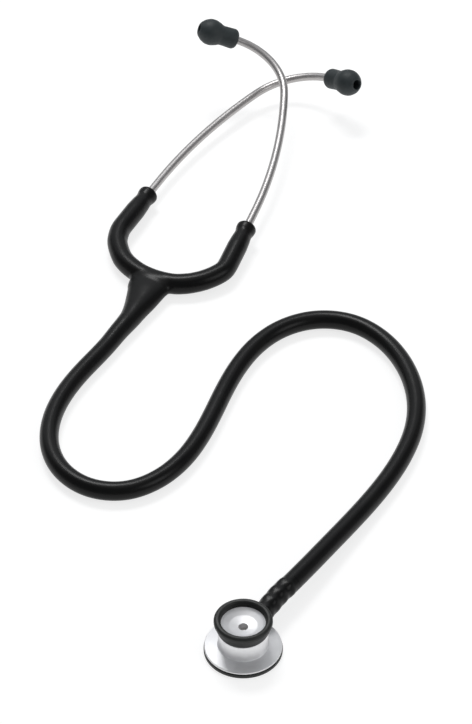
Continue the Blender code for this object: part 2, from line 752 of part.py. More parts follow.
def arm_matrix(side):
    """The sleeve's frame under its pivot: +Y along the sleeve, towards the collar."""
    end = Vector(U_ROUTE[0] if side == "left" else U_ROUTE[-1])
    mirror = MIRROR[side]
    turn = Matrix.Rotation(mirror * LEAN[side], 4, "Z") @ Matrix.Rotation(PITCH[side], 4, "X")
    turn = turn @ Matrix.Rotation(mirror * ROLL[side], 4, "Y")
    return Matrix.Translation(end - PIVOT[side]) @ turn


def tube_direction(side, distance):
    """The tube's heading at a distance from the collar, in the sleeve's frame."""
    bow_end, bow = TUBE_BOW
    bend_end, bend = TUBE_BEND
    bowed = min(max(distance - TUBE_STRAIGHT_TO, 0.0) / (bow_end - TUBE_STRAIGHT_TO), 1.0)
    bent = min(max(distance - bow_end, 0.0) / (bend_end - bow_end), 1.0)
    turn = bow * bowed + bend * bent
    lift = TUBE_LIFT * bent
    inward = -MIRROR[side] * math.sin(turn) * math.cos(lift)
    return Vector((inward, math.cos(turn) * math.cos(lift), math.sin(lift)))


def tube_path(side, start, end):
    """The tube's centre line, in the sleeve's frame, at even spacing from the collar's face."""
    step = 0.0005
    count = round((end - start) / step)
    point = Vector((0.0, SLEEVE_LENGTH + start, 0.0))
    line = [point.copy()]
    for i in range(count):
        point = point + tube_direction(side, start + (i + 0.5) * step) * step
        line.append(point)
    return line


def make_arm_sleeve(side, parent):
    neck_at, neck_radius = SLEEVE_NECK
    collar_at, collar_radius = SLEEVE_COLLAR
    mouth = SLEEVE_LENGTH
    profile = [
        (SLEEVE_BORE_RADIUS, mouth - 0.0012),
        (SLEEVE_BORE_RADIUS + 0.0008, mouth),
        (collar_radius - 0.0007, mouth),
        (collar_radius - 0.0001, mouth - 0.0006),
        (collar_radius, collar_at - 0.0006),
        (neck_radius, neck_at + 0.0012),
        (neck_radius, neck_at - 0.0010),
        (ARM_RADIUS - 0.0001, neck_at - 0.0060),
        (ARM_RADIUS, neck_at - 0.0110),
        (ARM_RADIUS, GAP),
        (CLIP_POCKET_RADIUS, GAP),
        (CLIP_POCKET_RADIUS, CLIP_POCKET_DEPTH),
        (SLEEVE_BORE_RADIUS, CLIP_POCKET_DEPTH + 0.0004),
    ]
    name = side + "_arm_sleeve"
    place = arm_matrix(side) @ along((0.0, 0.0, 0.0), (0.0, 1.0, 0.0))
    add_part(name, turned(name, profile, FINE_STEPS), "black_vinyl", parent, place)


def make_spring_clip(side, parent):
    """Crimped ferrule on the tube's inner end, which the leaf spring bears on."""
    low, high = CLIP_RANGE
    inner = TUBE_RADIUS + GAP
    profile = [(inner, high), (CLIP_RADIUS, high), (CLIP_RADIUS, low), (inner, low)]
    name = side + "_spring_clip"
    place = arm_matrix(side) @ along((0.0, 0.0, 0.0), (0.0, 1.0, 0.0))
    add_part(name, turned(name, profile, 24), "spring_steel", parent, place)


def make_ear_tube(side, parent):
    name = side + "_ear_tube"
    line = tube_path(side, TUBE_START, TUBE_END)
    path = stretch(line, 0.0, path_length(line), TUBE_SPACING)
    tube = add_part(name, wire_mesh(name, path, TUBE_RADIUS, 3), "polished_steel", parent, arm_matrix(side))
    bore = wire_mesh(name + "_bore_cut", extended(path, 0.002), TUBE_RADIUS - TUBE_WALL, 3)
    cut(tube, name + "_bore_cut", bore)


def make_ear_tip(side, parent):
    waist_at, waist_radius = TIP_WAIST
    ball_at, ball_radius = TIP_BALL
    profile = [
        (TIP_BORE_RADIUS, TIP_LENGTH - 0.0004),
        (TIP_BORE_RADIUS + 0.0004, TIP_LENGTH),
        *arc((0.0, ball_at), ball_radius, 62, -38, 7),
        (waist_radius, waist_at),
        (TIP_BARREL_RADIUS, 0.0050),
        *arc((TIP_BARREL_RADIUS - 0.0020, 0.0020), 0.0020, 0, -80, 4),
        (TIP_BORE_RADIUS, 0.0),
    ]
    name = side + "_ear_tip"
    base = tube_path(side, TUBE_START, TIP_BASE)[-1]
    place = arm_matrix(side) @ along(base, tube_direction(side, TUBE_END))
    add_part(name, turned(name, profile, FINE_STEPS), "soft_tip", parent, place)


# ---------------------------------------------------------------- assembly


def build():
    clear_scene()
    make_collection(COLLECTION)
    make_collection(CUTTERS, hidden=True)
    for name, values in MATERIALS.items():
        make_material(name, *values)

    swivel = add_frame("swivel_axis", stem_frame())
    chest = add_frame("chestpiece_axis", stem_frame().inverted(), swivel)
    make_diaphragm_rim(chest)
    make_diaphragm(chest)
    make_chestpiece_body(chest)
    make_bell_rim(chest)

    stem = add_frame("stem_axis", stem_frame())
    make_stem(stem)
    make_stem_seal(stem)
    make_stem_retaining_ring(stem)
    make_detent(stem)
    make_hose_grip()
    make_hose()

    headset = add_frame("headset_frame", headset_matrix())
    make_yoke(headset)
    make_leaf_spring(headset)
    for side in ("left", "right"):
        make_arm_bend(side, headset)
        pivot = add_frame(side + "_spread_axis", Matrix.Translation(PIVOT[side]), headset)
        make_arm_sleeve(side, pivot)
        make_spring_clip(side, pivot)
        make_ear_tube(side, pivot)
        make_ear_tip(side, pivot)


build()
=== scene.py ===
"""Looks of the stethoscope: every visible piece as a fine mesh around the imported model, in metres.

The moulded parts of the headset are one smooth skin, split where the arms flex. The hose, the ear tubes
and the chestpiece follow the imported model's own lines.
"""

import math

import bmesh
import bpy
import numpy as np
from mathutils import Matrix, Vector


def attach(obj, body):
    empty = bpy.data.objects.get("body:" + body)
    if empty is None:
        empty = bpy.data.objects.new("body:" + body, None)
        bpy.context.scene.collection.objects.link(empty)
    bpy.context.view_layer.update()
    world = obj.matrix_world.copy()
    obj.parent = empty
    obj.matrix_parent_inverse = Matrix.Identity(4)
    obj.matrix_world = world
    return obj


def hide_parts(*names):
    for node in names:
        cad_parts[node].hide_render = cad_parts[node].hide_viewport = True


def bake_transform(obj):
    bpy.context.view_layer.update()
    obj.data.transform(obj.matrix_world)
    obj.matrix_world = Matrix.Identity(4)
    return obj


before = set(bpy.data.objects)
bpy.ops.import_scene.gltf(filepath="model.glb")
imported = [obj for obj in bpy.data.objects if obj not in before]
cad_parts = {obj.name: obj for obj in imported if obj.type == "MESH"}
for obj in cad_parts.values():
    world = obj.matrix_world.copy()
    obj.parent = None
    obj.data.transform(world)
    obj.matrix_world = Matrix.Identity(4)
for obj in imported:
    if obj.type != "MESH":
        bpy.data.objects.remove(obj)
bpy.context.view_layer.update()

ROOT = "hose_and_yoke"
CHEST = "chestpiece"
SIDES = ("left", "right")

# ---------------------------------------------------------------- sizes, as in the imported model

HOSE_RADIUS = 0.0043
HOSE_ROUTE = [  # from the foot of the yoke to the grip
    (-0.0618, 0.1891, 0.00435),
    (-0.0652, 0.1832, 0.00435),
    (-0.0741, 0.1691, 0.00435),
    (-0.0815, 0.1541, 0.00435),
    (-0.0860, 0.1381, 0.00435),
    (-0.0862, 0.1213, 0.00435),
    (-0.0804, 0.1056, 0.00435),
    (-0.0680, 0.0944, 0.00435),
    (-0.0517, 0.0923, 0.00435),
    (-0.0370, 0.1001, 0.00435),
    (-0.0262, 0.1129, 0.00435),
    (-0.0188, 0.1277, 0.00435),
    (-0.0131, 0.1435, 0.00435),
    (-0.0079, 0.1594, 0.00435),
    (-0.0017, 0.1748, 0.00435),
    (0.0067, 0.1892, 0.00435),
    (0.0187, 0.2009, 0.00435),
    (0.0341, 0.2068, 0.00435),
    (0.0504, 0.2044, 0.00435),
    (0.0632, 0.1942, 0.00435),
    (0.0719, 0.1800, 0.00435),
    (0.0769, 0.1640, 0.00435),
    (0.0784, 0.1474, 0.00435),
    (0.0763, 0.1308, 0.00435),
    (0.0711, 0.1149, 0.00435),
    (0.0640, 0.0999, 0.00440),
    (0.0556, 0.0854, 0.00470),
    (0.0467, 0.0713, 0.00550),
    (0.0376, 0.0572, 0.00670),
    (0.0290, 0.0437, 0.00800),
    (0.0208, 0.0316, 0.00880),
]

STEM_HEIGHT = 0.0090
STEM_AZIMUTH = math.radians(58.0)
STEM_AXIS = (math.cos(STEM_AZIMUTH), math.sin(STEM_AZIMUTH), 0.0)
GRIP_START = 0.0132  # distances along the stem's axis
GRIP_STRAIGHT_TO = 0.0230
GRIP_KNEE = 0.0062  # past the straight part, where the axis would turn towards the hose
GRIP_RINGS = 4.25
GRIP_BUMPS = 6  # in each ring
GRIP_FILM = 0.00010  # how far the moulding stands out between the rings
GRIP_RING_HEIGHT = 0.00015
GRIP_BUMP_HEIGHT = 0.00024
GRIP_FADE = 0.0040
GRIP_ROUNDING = 0.0008

HEADSET_AT = Vector((-0.04386, 0.23355, 0.00495))
HEADSET_YAW = math.radians(-27.0)
HEADSET_TILT = math.radians(3.0)
ARM_RADIUS = 0.00485
U_ROUTE = [  # in the headset's frame, from the left arm to the right
    (-0.0286, 0.0277, 0.0),
    (-0.0285, 0.0255, 0.0),
    (-0.0275, 0.0215, 0.0),
    (-0.0249, 0.0157, 0.0),
    (-0.0175, 0.0076, 0.0),
    (-0.0083, 0.0031, 0.0),
    (0.0011, 0.0016, 0.0),
    (0.0105, 0.0026, 0.0),
    (0.0166, 0.0054, 0.0),
    (0.0216, 0.0094, 0.0),
    (0.0252, 0.0138, 0.0),
    (0.0277, 0.0182, 0.0),
    (0.0288, 0.0214, 0.0),
    (0.0288, 0.0247, 0.0),
]
BEND_LENGTH = 0.0225  # of the U, at each of its ends
FOOT_STATIONS = [  # centre in the headset's frame, half width, half thickness
    (0.0016, 0.0027, 0.0000, 0.0080, 0.0036),
    (0.0021, -0.0018, 0.0002, 0.0102, 0.0044),
    (0.0025, -0.0056, 0.0003, 0.0097, 0.0047),
    (0.0031, -0.0092, 0.0005, 0.0087, 0.0048),
    (0.0039, -0.0152, 0.0007, 0.0074, 0.0048),
    (0.0045, -0.0213, 0.0010, 0.0060, 0.0048),
    (0.0049, -0.0270, 0.0012, 0.0051, 0.0047),
    (0.0048, -0.0325, 0.0015, 0.0047, 0.0046),
    (0.0045, -0.0380, 0.0017, 0.0045, 0.0044),
]

FOOT_RUN_OUT = 0.006  # of the yoke's skin past its cut, along the hose
SLEEVE_LENGTH = 0.0270
COLLAR = [  # distance back from the collar's mouth, radius
    (0.0000, 0.0042),
    (0.0003, 0.0046),
    (0.0010, 0.0048),
    (0.0022, 0.0047),
    (0.0034, 0.0045),
    (0.0046, 0.0042),
    (0.0064, 0.0042),
    (0.0090, 0.0045),
    (0.0140, 0.0048),
    (1.0000, ARM_RADIUS),
]
COLLAR_MOUTH = [(0.0001, 0.0036), (0.0005, 0.0031), (0.0009, 0.0026), (0.0012, 0.0022)]  # depth, radius
# How each sleeve is turned from the headset's frame.
LEAN = {"left": math.radians(-0.5), "right": math.radians(7.1)}
PITCH = {"left": math.radians(-2.9), "right": math.radians(2.2)}
ROLL = {"left": math.radians(10.0), "right": math.radians(15.9)}
MIRROR = {"left": -1.0, "right": 1.0}

TUBE_RADIUS = 0.00195
# Distances along an ear tube are from the collar's mouth, where the sleeve ends.
TUBE_START = -0.0220
TUBE_STRAIGHT_TO = 0.0100
TUBE_BOW = (0.0921, math.radians(18.9))  # where the gentle bow ends, and its turn
TUBE_BEND = (0.1323, math.radians(88.9))  # where the bend to the tip ends, and its turn
TUBE_LIFT = math.radians(8.8)  # of the bend, out of the arms' plane
TUBE_END = 0.1408
TIP_BASE = 0.1320

# How finely the skins are made.
FINE_STEP = 0.0002
TUBE_STEP = 0.0005
HOSE_STEP = 0.0020
YOKE_VOXEL = 0.00045
YOKE_FOLD = 0.0025  # how far the rounding reaches where the foot meets the U
ARC_STEP = math.radians(11.0)  # along a profile's rounded corners
CREASE = math.radians(50.0)  # between faces that meet in a sharp edge
TOUCHING = 1e-7  # points nearer than this are one
UP = (0.0, 0.0, 1.0)

# ---------------------------------------------------------------- lines in space


def smooth_path(route, steps=24):
    """The smooth curve through a route's points, as a fine polyline."""
    points = np.array(route, float)
    points = np.vstack([2 * points[0] - points[1], points, 2 * points[-1] - points[-2]])
    t = (np.arange(steps) / steps)[:, None]
    spans = []
    for a, b, c, d in zip(points, points[1:], points[2:], points[3:]):
        square = (2 * a - 5 * b + 4 * c - d) * t**2
        cube = (3 * b - a - 3 * c + d) * t**3
        spans.append(0.5 * (2 * b + (c - a) * t + square + cube))
    return np.vstack([*spans, points[-2]])


def distances(path):
    """Distance along a path at each of its points."""
    return np.concatenate([[0.0], np.cumsum(np.linalg.norm(np.diff(path, axis=0), axis=1))])


def part_of(path, start, end, spacing):
    """The stretch of a path between two distances, at even spacing."""
    so_far = distances(path)
    places = np.linspace(start, end, max(2, round((end - start) / spacing) + 1))
    return np.stack([np.interp(places, so_far, path[:, axis]) for axis in range(3)], axis=1)


def relaxed(values, rounds):
    """A path, or one value for each of its points, with small kinks eased and the ends kept."""
    eased = values.copy()
    for _ in range(rounds):
        eased[1:-1] = 0.25 * eased[:-2] + 0.5 * eased[1:-1] + 0.25 * eased[2:]
    return eased


def tangents(path):
    """The path's heading at each of its points."""
    runs = np.gradient(path, axis=0)
    return runs / np.linalg.norm(runs, axis=1)[:, None]


def carried_frames(path):
    """Tangent, side and top directions at each point, carried along without twist."""
    runs = tangents(path)
    top = np.array(UP)
    sides, tops = [], []
    for run in runs:
        top = top - run * (top @ run)
        top = top / np.linalg.norm(top)
        sides.append(np.cross(run, top))
        tops.append(top)
    return runs, np.array(sides), np.array(tops)


def moved(points, matrix):
    """Points through a 4x4 matrix."""
    m = np.array(matrix)
    return np.asarray(points) @ m[:3, :3].T + m[:3, 3]


def headset_matrix():
    """The headset's frame: origin by the lowest point of the U, +Y between the arms."""
    turn = Matrix.Rotation(HEADSET_YAW, 4, "Z") @ Matrix.Rotation(HEADSET_TILT, 4, "X")
    return Matrix.Translation(HEADSET_AT) @ turn


def sleeve_matrix(side):
    """The sleeve's frame: origin where it leaves the arm's bend, +Y towards the collar."""
    end = Vector(U_ROUTE[0] if side == "left" else U_ROUTE[-1])
    mirror = MIRROR[side]
    turn = Matrix.Rotation(mirror * LEAN[side], 4, "Z") @ Matrix.Rotation(PITCH[side], 4, "X")
    turn = turn @ Matrix.Rotation(mirror * ROLL[side], 4, "Y")
    return headset_matrix() @ Matrix.Translation(end) @ turn


def tube_direction(side, distance):
    """The ear tube's heading at a distance from the collar, in the sleeve's frame."""
    bow_end, bow = TUBE_BOW
    bend_end, bend = TUBE_BEND
    bowed = min(max(distance - TUBE_STRAIGHT_TO, 0.0) / (bow_end - TUBE_STRAIGHT_TO), 1.0)
    bent = min(max(distance - bow_end, 0.0) / (bend_end - bow_end), 1.0)
    turn = bow * bowed + bend * bent
    lift = TUBE_LIFT * bent
    inward = -MIRROR[side] * math.sin(turn) * math.cos(lift)
    return Vector((inward, math.cos(turn) * math.cos(lift), math.sin(lift)))


def tube_path(side, start, end):
    """The ear tube's centre line, in the sleeve's frame."""
    point = Vector((0.0, SLEEVE_LENGTH + start, 0.0))
    line = [point.copy()]
    for i in range(round((end - start) / TUBE_STEP)):
        point = point + tube_direction(side, start + (i + 0.5) * TUBE_STEP) * TUBE_STEP
        line.append(point)
    return np.array(line)


# ---------------------------------------------------------------- meshes


def add_to_scene(name, mesh):
    """A new object that holds a mesh."""
    piece = bpy.data.objects.new(name, mesh)
    bpy.context.scene.collection.objects.link(piece)
    return piece


def shade(mesh):
    """Smooth shading, broken at the sharp edges."""
    mesh.shade_smooth()
    mesh.set_sharp_from_angle(angle=CREASE)


def add_object(name, vertices, faces):
    """A smooth-shaded mesh object in the scene."""
    mesh = bpy.data.meshes.new(name)
    mesh.from_pydata([tuple(v) for v in vertices], [], [tuple(f) for f in faces])
    mesh.validate()
    shade(mesh)
    return add_to_scene(name, mesh)


def ring_faces(rings, sides):
    """The faces between rings of vertices that follow each other."""
    faces = []
    for ring in range(rings - 1):
        low = ring * sides
        for side in range(sides):
            after = (side + 1) % sides
            faces.append((low + side, low + after, low + sides + after, low + sides + side))
    return faces


def sweep(name, path, radius, sides, mouth=()):
    """A closed tube along a path. radius is one value, one for each point, or a table of points by sides.

    mouth lists further rings (depth, radius) that turn back into the tube's far end.
    """
    runs, across, tops = carried_frames(path)
    table = np.asarray(radius, float)
    if table.ndim < 2:
        table = table.reshape(-1, 1)
    table = np.broadcast_to(table, (len(path), sides))
    angle = 2 * np.pi * np.arange(sides) / sides
    cosine = np.cos(angle)[None, :, None]
    sine = np.sin(angle)[None, :, None]
    ring = across[:, None, :] * cosine + tops[:, None, :] * sine
    rows = [path[:, None, :] + ring * table[:, :, None]]
    for depth, size in mouth:
        rows.append((path[-1] - runs[-1] * depth + ring[-1] * size)[None])
    rows = np.concatenate(rows)
    count = len(rows)
    faces = [tuple(reversed(face)) for face in ring_faces(count, sides)]
    last = (count - 1) * sides
    faces.append(tuple(range(sides)))
    faces.append(tuple(reversed(range(last, last + sides))))
    return add_object(name, rows.reshape(-1, 3), faces)


def rounded(corners):
    """A profile of (radius, height, rounding) corners as points, each corner replaced by an arc."""
    nearly_straight = math.radians(88.0)  # half of the corner's angle
    share = 0.48  # of each side that a corner's arc may take up
    points = [np.array(corner[:2], float) for corner in corners]
    result = []
    for i, (point, corner) in enumerate(zip(points, corners)):
        size = corner[2] if len(corner) > 2 else 0.0
        if size == 0.0 or i in (0, len(points) - 1):
            result.append(point)
            continue
        back = points[i - 1] - point
        ahead = points[i + 1] - point
        back_length = np.linalg.norm(back)
        ahead_length = np.linalg.norm(ahead)
        back = back / back_length
        ahead = ahead / ahead_length
        half = math.acos(max(-1.0, min(1.0, float(back @ ahead)))) / 2
        if half > nearly_straight:
            result.append(point)
            continue
        reach = min(size / math.tan(half), share * back_length, share * ahead_length)
        size = reach * math.tan(half)
        middle = (back + ahead) / np.linalg.norm(back + ahead)
        centre = point + middle * size / math.sin(half)
        first = point + back * reach - centre
        last = point + ahead * reach - centre
        start = math.atan2(first[1], first[0])
        turn = (math.atan2(last[1], last[0]) - start + math.pi) % (2 * math.pi) - math.pi
        count = max(2, math.ceil(abs(turn) / ARC_STEP))
        for step in range(count + 1):
            angle = start + turn * step / count
            result.append(centre + size * np.array([math.cos(angle), math.sin(angle)]))
    return result


def revolve(name, corners, sides, matrix=None):
    """A profile turned about +Z. A point on the axis closes the shape."""
    profile = rounded(corners)
    angle = 2 * np.pi * np.arange(sides) / sides
    vertices, rings = [], []
    for radius, height in profile:
        if radius < TOUCHING:
            rings.append([len(vertices)])
            vertices.append((0.0, 0.0, height))
            continue
        rings.append(list(range(len(vertices), len(vertices) + sides)))
        vertices += [(radius * math.cos(a), radius * math.sin(a), height) for a in angle]
    faces = []
    closed = rings[0] != rings[-1] and len(rings[0]) > 1 and len(rings[-1]) > 1
    pairs = list(zip(rings, rings[1:]))
    if closed:
        pairs.append((rings[-1], rings[0]))
    for low, high in pairs:
        for side in range(sides):
            after = (side + 1) % sides
            below = (low[side % len(low)], low[after % len(low)])
            above = (high[after % len(high)], high[side % len(high)])
            face = tuple(dict.fromkeys(below + above))
            if len(face) > 2:
                faces.append(face)
    if matrix is not None:
        vertices = [tuple(matrix @ Vector(v)) for v in vertices]
    piece = add_object(name, vertices, faces)
    shape = bmesh.new()
    shape.from_mesh(piece.data)
    bmesh.ops.remove_doubles(shape, verts=shape.verts, dist=TOUCHING)
    bmesh.ops.recalc_face_normals(shape, faces=shape.faces)
    shape.to_mesh(piece.data)
    shape.free()
    shade(piece.data)
    return piece


def along(point, direction):
    """A frame at a point whose +Z runs along a direction."""
    return Matrix.Translation(point) @ Vector(direction).to_track_quat("Z", "Y").to_matrix().to_4x4()


def finish_piece(piece, material, body, slot, *nodes):
    """Material, the body it moves with, and the CAD nodes it stands for. slot is not used."""
    piece.data.materials.clear()
    piece.data.materials.append(material)
    if body is not None:
        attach(piece, body)
    if nodes:
        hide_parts(*nodes)
    return piece


# ---------------------------------------------------------------- materials


def start_material(name, colour, roughness, metallic=0.0, **sockets):
    """A material whose shader has these plain values, to be overridden by links."""
    material = bpy.data.materials.new(name)
    material.use_nodes = True
    shader = material.node_tree.nodes["Principled BSDF"]
    shader.inputs["Base Color"].default_value = (*colour, 1.0)
    shader.inputs["Roughness"].default_value = roughness
    shader.inputs["Metallic"].default_value = metallic
    for socket, value in sockets.items():
        shader.inputs[socket.replace("_", " ")].default_value = value
    return material


def add_node(material, kind, **settings):
    """A node with the given input values and properties."""
    node = material.node_tree.nodes.new(kind)
    for key, value in settings.items():
        if key in node.inputs:
            node.inputs[key].default_value = value
        else:
            setattr(node, key, value)
    return node


def link(material, source, target):
    material.node_tree.links.new(source, target)


def object_place(material):
    return add_node(material, "ShaderNodeTexCoord").outputs["Object"]


def noise(material, place, scale, detail, roughness=0.5):
    node = add_node(material, "ShaderNodeTexNoise", Scale=scale, Detail=detail, Roughness=roughness)
    link(material, place, node.inputs["Vector"])
    return node.outputs["Fac"]


def spread(material, value, low=0.0, high=1.0):
    """A noise's value, which keeps to the middle of 0 to 1, stretched over a range."""
    node = add_node(material, "ShaderNodeMapRange")
    for key, number in (("From Min", 0.3), ("From Max", 0.7), ("To Min", low), ("To Max", high)):
        node.inputs[key].default_value = number
    link(material, value, node.inputs["Value"])
    return node.outputs["Result"]


def blend_colour(material, value, first, second):
    """A colour between two, by a value from 0 to 1."""
    node = add_node(material, "ShaderNodeMix", data_type="RGBA")
    mixed = [socket for socket in node.inputs if socket.type == "RGBA"]
    mixed[0].default_value = (*first, 1.0)
    mixed[1].default_value = (*second, 1.0)
    link(material, value, node.inputs[0])
    return [socket for socket in node.outputs if socket.type == "RGBA"][0]


def arithmetic(material, operation, first, second):
    node = add_node(material, "ShaderNodeMath", operation=operation)
    for socket, value in zip(node.inputs, (first, second)):
        if isinstance(value, (int, float)):
            socket.default_value = value
        else:
            link(material, value, socket)
    return node.outputs[0]


def bump(material, height, distance, strength, onto=None):
    node = add_node(material, "ShaderNodeBump", Strength=strength, Distance=distance)
    link(material, height, node.inputs["Height"])
    if onto is not None:
        link(material, onto, node.inputs["Normal"])
    return node.outputs["Normal"]


def to_shader(material, **outputs):
    """Links outputs to the shader's sockets of the same names."""
    shader = material.node_tree.nodes["Principled BSDF"]
    for socket, output in outputs.items():
        link(material, output, shader.inputs[socket.replace("_", " ")])


def make_vinyl():
    """Black moulded vinyl: satin, with a fine grain and faint cloudiness from handling."""
    material = start_material("black_vinyl", (0.003, 0.003, 0.003), 0.34, Specular_IOR_Level=0.19)
    place = object_place(material)
    cloud = noise(material, place, 90.0, 4.0, 0.6)
    grain = noise(material, place, 5200.0, 2.0)
    soft = noise(material, place, 420.0, 2.0)
    low = (0.0020, 0.0020, 0.0021)
    high = (0.0036, 0.0035, 0.0034)
    colour = blend_colour(material, spread(material, cloud), low, high)
    rough = spread(material, cloud, 0.29, 0.34)
    normal = bump(material, grain, 0.000012, 0.7)
    normal = bump(material, soft, 0.00003, 0.35, normal)
    to_shader(material, Base_Color=colour, Roughness=rough, Normal=normal)
    return material


def make_rubber(name, low, high):
    """Satin rubber: a faint cloud of bloom between two colours, over a fine grain."""
    material = start_material(name, high, 0.45, Specular_IOR_Level=0.35)
    place = object_place(material)
    cloud = noise(material, place, 260.0, 3.0)
    grain = noise(material, place, 7000.0, 2.0)
    colour = blend_colour(material, spread(material, cloud), low, high)
    rough = spread(material, cloud, 0.42, 0.52)
    normal = bump(material, grain, 0.00001, 0.7)
    to_shader(material, Base_Color=colour, Roughness=rough, Normal=normal)
    return material


def make_tip_rubber():
    """Soft matt elastomer with a slight bloom."""
    material = start_material("soft_tip", (0.03, 0.037, 0.04), 0.55, Specular_IOR_Level=0.4)
    place = object_place(material)
    bloom = noise(material, place, 380.0, 4.0, 0.6)
    grain = noise(material, place, 6500.0, 2.0)
    colour = blend_colour(material, spread(material, bloom), (0.018, 0.025, 0.027), (0.025, 0.033, 0.036))
    rough = spread(material, bloom, 0.48, 0.62)
    normal = bump(material, grain, 0.000014, 0.8)
    to_shader(material, Base_Color=colour, Roughness=rough, Normal=normal)
    return material


def make_turned_steel():
    """Steel turned on a lathe about its own +Z: fine rings that draw highlights out to the rim."""
    colour = (0.90, 0.90, 0.91)
    roughness = 0.52
    pitch = 0.00022
    material = start_material("turned_steel", colour, roughness, 1.0, Anisotropic=0.6)
    place = object_place(material)
    parts = add_node(material, "ShaderNodeSeparateXYZ")
    link(material, place, parts.inputs[0])
    square_x = arithmetic(material, "MULTIPLY", parts.outputs[0], parts.outputs[0])
    square_y = arithmetic(material, "MULTIPLY", parts.outputs[1], parts.outputs[1])
    radius = arithmetic(material, "SQRT", arithmetic(material, "ADD", square_x, square_y), 0.0)
    rings = add_node(material, "ShaderNodeCombineXYZ")
    link(material, radius, rings.inputs[0])
    link(material, parts.outputs[2], rings.inputs[2])
    groove = noise(material, rings.outputs[0], 1.0 / pitch, 3.0, 0.7)
    wear = noise(material, place, 240.0, 4.0, 0.6)
    low = tuple(0.94 * c for c in colour)
    tint = blend_colour(material, spread(material, wear), low, colour)
    grooved = spread(material, groove, -0.05, 0.05)
    worn = spread(material, wear, roughness - 0.02, roughness + 0.03)
    rough = arithmetic(material, "ADD", grooved, worn)
    tangent = add_node(material, "ShaderNodeTangent", direction_type="RADIAL", axis="Z")
    to_shader(material, Base_Color=tint, Roughness=rough, Tangent=tangent.outputs[0])
    to_shader(material, Normal=bump(material, groove, 0.000006, 0.6))
    return material


def make_polished_steel():
    """Drawn tube, polished to a satin: faint buffing marks and finger haze."""
    material = start_material("polished_steel", (0.55, 0.54, 0.53), 0.2, 1.0)
    place = object_place(material)
    haze = noise(material, place, 120.0, 4.0, 0.6)
    fine = noise(material, place, 3200.0, 2.0)
    colour = blend_colour(material, spread(material, haze), (0.43, 0.415, 0.41), (0.48, 0.465, 0.46))
    buffed = spread(material, fine, -0.01, 0.01)
    hazed = spread(material, haze, 0.37, 0.41)
    rough = arithmetic(material, "ADD", buffed, hazed)
    normal = bump(material, haze, 0.000004, 0.2)
    to_shader(material, Base_Color=colour, Roughness=rough, Normal=normal)
    return material


def make_metal(name, colour, roughness):
    """Plain bright metal with a slight cloudiness."""
    material = start_material(name, colour, roughness, 1.0)
    place = object_place(material)
    cloud = noise(material, place, 700.0, 4.0)
    low = tuple(0.85 * c for c in colour)
    tint = blend_colour(material, spread(material, cloud), low, colour)
    rough = spread(material, cloud, roughness - 0.05, roughness + 0.07)
    to_shader(material, Base_Color=tint, Roughness=rough, Normal=bump(material, cloud, 0.000008, 0.5))
    return material


def make_resin():
    """Glass-epoxy sheet: a pale disc with a faint woven ground."""
    material = start_material("diaphragm_resin", (0.62, 0.63, 0.6), 0.4)
    place = object_place(material)
    weave_x = add_node(material, "ShaderNodeTexWave", Scale=190.0, Distortion=0.4)
    weave_y = add_node(material, "ShaderNodeTexWave", Scale=190.0, Distortion=0.4, bands_direction="Y")
    link(material, place, weave_x.inputs["Vector"])
    link(material, place, weave_y.inputs["Vector"])
    weave = arithmetic(material, "MULTIPLY", weave_x.outputs["Fac"], weave_y.outputs["Fac"])
    colour = blend_colour(material, weave, (0.56, 0.57, 0.53), (0.68, 0.69, 0.66))
    to_shader(material, Base_Color=colour, Normal=bump(material, weave, 0.00002, 0.5))
    return material


VINYL = make_vinyl()
RIM_RUBBER = make_rubber("rim_rubber", (0.011, 0.012, 0.011), (0.017, 0.019, 0.018))
TIP_RUBBER = make_tip_rubber()
TURNED_STEEL = make_turned_steel()
POLISHED_STEEL = make_polished_steel()
SPRING_STEEL = make_metal("spring_steel", (0.5, 0.5, 0.52), 0.28)
PLATED_BRASS = make_metal("plated_brass", (0.72, 0.7, 0.67), 0.22)
SEAL_RUBBER = make_rubber("seal_rubber", (0.016, 0.016, 0.016), (0.024, 0.024, 0.024))
RESIN = make_resin()

# ---------------------------------------------------------------- hose


def make_hose():
    """The soft tube from the yoke's foot to the grip, as it lies."""
    line = smooth_path(HOSE_ROUTE)
    length = float(distances(line)[-1])
    path = relaxed(part_of(line, 0.0, length, HOSE_STEP), rounds=12)
    hose = sweep("hose_skin", path, HOSE_RADIUS, sides=56)
    finish_piece(hose, VINYL, ROOT, "black_vinyl", "hose")


def grip_line():
    """The grip's centre line: straight over the stem, then round to the hose."""
    axis = np.array(STEM_AXIS)
    centre = np.array((0.0, 0.0, STEM_HEIGHT))
    outer = np.array(HOSE_ROUTE[-1])
    knee = centre + axis * (GRIP_STRAIGHT_TO + GRIP_KNEE)
    turning = knee + (outer - knee) * 0.12
    route = [
        centre + axis * GRIP_START,
        centre + axis * (GRIP_START + GRIP_STRAIGHT_TO) / 2,
        centre + axis * GRIP_STRAIGHT_TO,
        turning,
        outer,
        HOSE_ROUTE[-2],
    ]
    steps = 24
    return smooth_path(route, steps)[:-steps]


